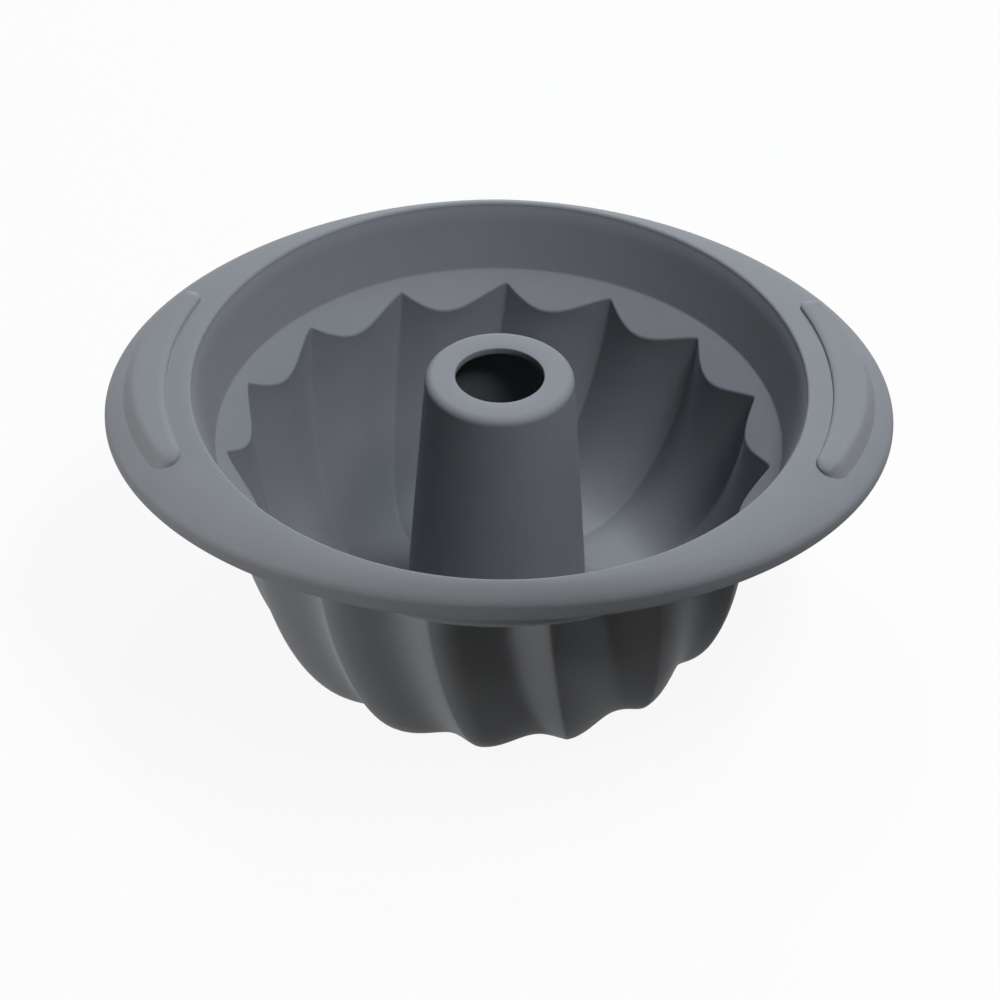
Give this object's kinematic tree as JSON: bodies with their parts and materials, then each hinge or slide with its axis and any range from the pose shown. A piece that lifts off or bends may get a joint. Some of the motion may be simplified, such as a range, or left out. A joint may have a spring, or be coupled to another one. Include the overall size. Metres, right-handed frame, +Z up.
{
  "type": "fluted tube pan",
  "caption": "Round silicone ring-cake pan with swirling flutes, a tapered vented centre tube and an oval drooping rim with raised grip pads.",
  "frame": {"origin": "centre of the bounding box's base, under the tube, on the face that the pan stands on", "axes": "+Z up along the tube, +X through the right-hand grip along the rim's length, +Y to the back"},
  "size_m": [0.2832, 0.2324, 0.1163],
  "materials": {
    "silicone": "matte moulded silicone, blue-grey, with a soft sheen"
  },
  "bodies": {
    "root": {"rim_flange": "silicone", "rim_lip": "silicone", "grip_left": "silicone", "grip_right": "silicone", "collar": "silicone", "fluted_wall": "silicone", "channel_floor": "silicone", "centre_tube": "silicone", "tube_cap": "silicone"}
  },
  "joints": []
}
